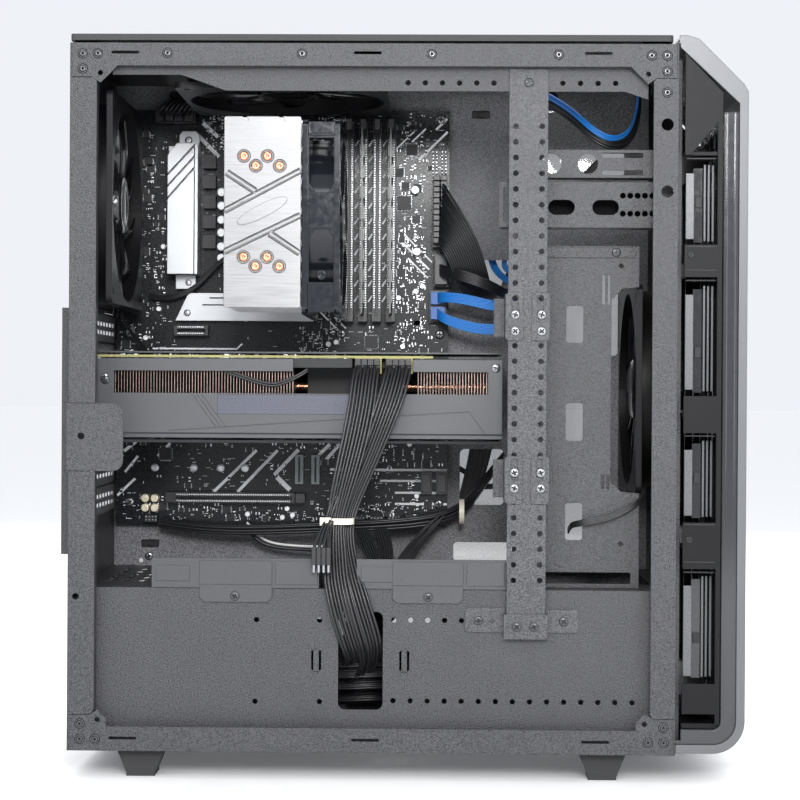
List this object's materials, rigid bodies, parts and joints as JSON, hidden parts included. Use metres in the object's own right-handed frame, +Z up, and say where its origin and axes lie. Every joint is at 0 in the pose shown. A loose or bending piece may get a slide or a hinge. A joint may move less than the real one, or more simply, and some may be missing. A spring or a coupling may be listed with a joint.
{
  "type": "desktop computer tower",
  "caption": "Mid-tower desktop computer with its side panel off, showing board, tower cooler, graphics card, fans, supply shroud and leads.",
  "frame": {"origin": "on the ground, under the middle of the outer box", "axes": "+Z up, +X towards the front bezel, +Y away from the open side; in mm, the case frame's lower rear corner on the open side is at (-213.5, -109.35, 18)"},
  "size_m": [0.453, 0.2198, 0.4843],
  "materials": {
    "chassis_rear_panel": "black powder coat",
    "chassis_top_panel": "black powder coat",
    "chassis_bottom_panel": "black powder coat",
    "chassis_front_panel": "black powder coat",
    "motherboard_tray": "black powder coat",
    "psu_shroud": "black powder coat",
    "shroud_covers": "satin black",
    "support_strut": "black powder coat",
    "strut_brackets": "black powder coat",
    "drive_rails": "black powder coat",
    "side_mount_plate": "black powder coat",
    "slot_covers": "black powder coat",
    "rivets": "black",
    "screws": "zinc and black oxide",
    "feet": "moulded",
    "case_fan_frames": "satin black",
    "cpu_fan_frame": "black",
    "psu_case": "black",
    "motherboard": "black solder mask",
    "rear_io": "plated shells",
    "board_heatsinks": "brushed",
    "processor": "nickel lid",
    "dimm_slots": "black",
    "memory_modules": "circuit board",
    "pcie_slots": "black",
    "board_connectors": "black",
    "board_components": "mixed parts",
    "cooler_heatsink": "bare fins",
    "heat_pipes": "copper",
    "cooler_top_plate": "brushed",
    "gpu_board": "black solder mask",
    "gpu_covers": "satin grey",
    "gpu_heatsink": "fins",
    "gpu_bracket": "plated",
    "leads": "sleeved",
    "cable_ties": "cream",
    "bezel_frame": "black",
    "front_panel": "black",
    "front_trim": "silver grey",
    "front_ports": "plated shells",
    "right_side_panel": "tinted",
    "panel_thumbscrews": "knurled black",
    "slot_retention_plate": "black powder coat",
    "top_filter": "fine mesh",
    "psu_filter": "fine mesh",
    "power_button": "silver grey",
    "psu_switch": "black",
    "rear_fan_rotor": "black",
    "top_fan_rotor": "black",
    "front_fan_rotor": "black",
    "cpu_fan_rotor": "black",
    "psu_fan_rotor": "black",
    "gpu_fan_rotor_1": "black",
    "gpu_fan_rotor_2": "black",
    "gpu_fan_rotor_3": "black",
    "dimm_latch_1": "black",
    "dimm_latch_2": "black",
    "dimm_latch_3": "black",
    "dimm_latch_4": "black",
    "pcie_latch": "black"
  },
  "bodies": {
    "case": {"chassis_rear_panel": "chassis_rear_panel", "chassis_top_panel": "chassis_top_panel", "chassis_bottom_panel": "chassis_bottom_panel", "chassis_front_panel": "chassis_front_panel", "motherboard_tray": "motherboard_tray", "psu_shroud": "psu_shroud", "shroud_covers": "shroud_covers", "support_strut": "support_strut", "strut_brackets": "strut_brackets", "drive_rails": "drive_rails", "side_mount_plate": "side_mount_plate", "slot_covers": "slot_covers", "rivets": "rivets", "screws": "screws", "feet": "feet", "case_fan_frames": "case_fan_frames", "cpu_fan_frame": "cpu_fan_frame", "psu_case": "psu_case", "motherboard": "motherboard", "rear_io": "rear_io", "board_heatsinks": "board_heatsinks", "processor": "processor", "dimm_slots": "dimm_slots", "memory_modules": "memory_modules", "pcie_slots": "pcie_slots", "board_connectors": "board_connectors", "board_components": "board_components", "cooler_heatsink": "cooler_heatsink", "heat_pipes": "heat_pipes", "cooler_top_plate": "cooler_top_plate", "gpu_board": "gpu_board", "gpu_covers": "gpu_covers", "gpu_heatsink": "gpu_heatsink", "gpu_bracket": "gpu_bracket", "leads": "leads", "cable_ties": "cable_ties"},
    "front": {"bezel_frame": "bezel_frame", "front_panel": "front_panel", "front_trim": "front_trim", "front_ports": "front_ports"},
    "right_panel": {"right_side_panel": "right_side_panel", "panel_thumbscrews": "panel_thumbscrews"},
    "retention_plate": {"slot_retention_plate": "slot_retention_plate"},
    "roof_filter": {"top_filter": "top_filter"},
    "supply_filter": {"psu_filter": "psu_filter"},
    "start_button": {"power_button": "power_button"},
    "supply_rocker": {"psu_switch": "psu_switch"},
    "rear_rotor": {"rear_fan_rotor": "rear_fan_rotor"},
    "top_rotor": {"top_fan_rotor": "top_fan_rotor"},
    "front_rotor": {"front_fan_rotor": "front_fan_rotor"},
    "cooler_rotor": {"cpu_fan_rotor": "cpu_fan_rotor"},
    "supply_rotor": {"psu_fan_rotor": "psu_fan_rotor"},
    "card_rotor_1": {"gpu_fan_rotor_1": "gpu_fan_rotor_1"},
    "card_rotor_2": {"gpu_fan_rotor_2": "gpu_fan_rotor_2"},
    "card_rotor_3": {"gpu_fan_rotor_3": "gpu_fan_rotor_3"},
    "memory_latch_1": {"dimm_latch_1": "dimm_latch_1"},
    "memory_latch_2": {"dimm_latch_2": "dimm_latch_2"},
    "memory_latch_3": {"dimm_latch_3": "dimm_latch_3"},
    "memory_latch_4": {"dimm_latch_4": "dimm_latch_4"},
    "card_slot_latch": {"pcie_latch": "pcie_latch"}
  },
  "joints": [
    {"name": "rear_fan_spin", "type": "hinge", "parent": "case", "child": "rear_rotor", "pos_m": [-0.1965, -0.02835, 0.38], "axis": [1, 0, 0], "continuous": true},
    {"name": "top_fan_spin", "type": "hinge", "parent": "case", "child": "top_rotor", "pos_m": [-0.0785, -0.01835, 0.458], "axis": [0, 0, 1], "continuous": true},
    {"name": "front_fan_spin", "type": "hinge", "parent": "case", "child": "front_rotor", "pos_m": [0.1665, 0.00315, 0.2555], "axis": [1, 0, 0], "continuous": true},
    {"name": "cooler_fan_spin", "type": "hinge", "parent": "case", "child": "cooler_rotor", "pos_m": [-0.0515, -0.02435, 0.3681], "axis": [1, 0, 0], "continuous": true},
    {"name": "supply_fan_spin", "type": "hinge", "parent": "case", "child": "supply_rotor", "pos_m": [-0.1375, -0.00335, 0.028], "axis": [0, 0, 1], "continuous": true},
    {"name": "card_fan_spin_1", "type": "hinge", "parent": "case", "child": "card_rotor_1", "pos_m": [-0.1575, 0.00065, 0.224], "axis": [0, 0, 1], "continuous": true},
    {"name": "card_fan_spin_2", "type": "hinge", "parent": "case", "child": "card_rotor_2", "pos_m": [-0.0665, 0.00065, 0.224], "axis": [0, 0, 1], "continuous": true},
    {"name": "card_fan_spin_3", "type": "hinge", "parent": "case", "child": "card_rotor_3", "pos_m": [0.0245, 0.00065, 0.224], "axis": [0, 0, 1], "continuous": true},
    {"name": "front_pull_off", "type": "slide", "parent": "case", "child": "front", "axis": [1, 0, 0], "range_m": [0, 0.06]},
    {"name": "power_button_press", "type": "slide", "parent": "front", "child": "start_button", "axis": [-0.7071, 0, -0.7071], "range_m": [0, 0.0015], "stiffness_N_per_m": 400, "springref_m": -0.003},
    {"name": "supply_switch_rock", "type": "hinge", "parent": "case", "child": "supply_rocker", "pos_m": [-0.2082, 0.04065, 0.08], "axis": [0, 1, 0], "range_deg": [-7, 7]},
    {"name": "card_latch_tilt", "type": "hinge", "parent": "case", "child": "card_slot_latch", "pos_m": [-0.0745, 0.07065, 0.1745], "axis": [0, 0, 1], "range_deg": [0, 20]},
    {"name": "retention_plate_slide", "type": "slide", "parent": "case", "child": "retention_plate", "axis": [-1, 0, 0], "range_m": [0, 0.015]},
    {"name": "top_filter_lift", "type": "slide", "parent": "case", "child": "roof_filter", "axis": [0, 0, 1], "range_m": [0, 0.1]},
    {"name": "supply_filter_slide", "type": "slide", "parent": "case", "child": "supply_filter", "axis": [-1, 0, 0], "range_m": [0, 0.16]},
    {"name": "right_panel_remove", "type": "slide", "parent": "case", "child": "right_panel", "axis": [0, 1, 0], "range_m": [0, 0.15]},
    {"name": "memory_latch_tilt_1", "type": "hinge", "parent": "case", "child": "memory_latch_1", "pos_m": [-0.039, 0.06885, 0.4455], "axis": [-1, 0, 0], "range_deg": [0, 28]},
    {"name": "memory_latch_tilt_2", "type": "hinge", "parent": "case", "child": "memory_latch_2", "pos_m": [-0.0288, 0.06885, 0.4455], "axis": [-1, 0, 0], "range_deg": [0, 28]},
    {"name": "memory_latch_tilt_3", "type": "hinge", "parent": "case", "child": "memory_latch_3", "pos_m": [-0.0186, 0.06885, 0.4455], "axis": [-1, 0, 0], "range_deg": [0, 28]},
    {"name": "memory_latch_tilt_4", "type": "hinge", "parent": "case", "child": "memory_latch_4", "pos_m": [-0.0084, 0.06885, 0.4455], "axis": [-1, 0, 0], "range_deg": [0, 28]}
  ]
}
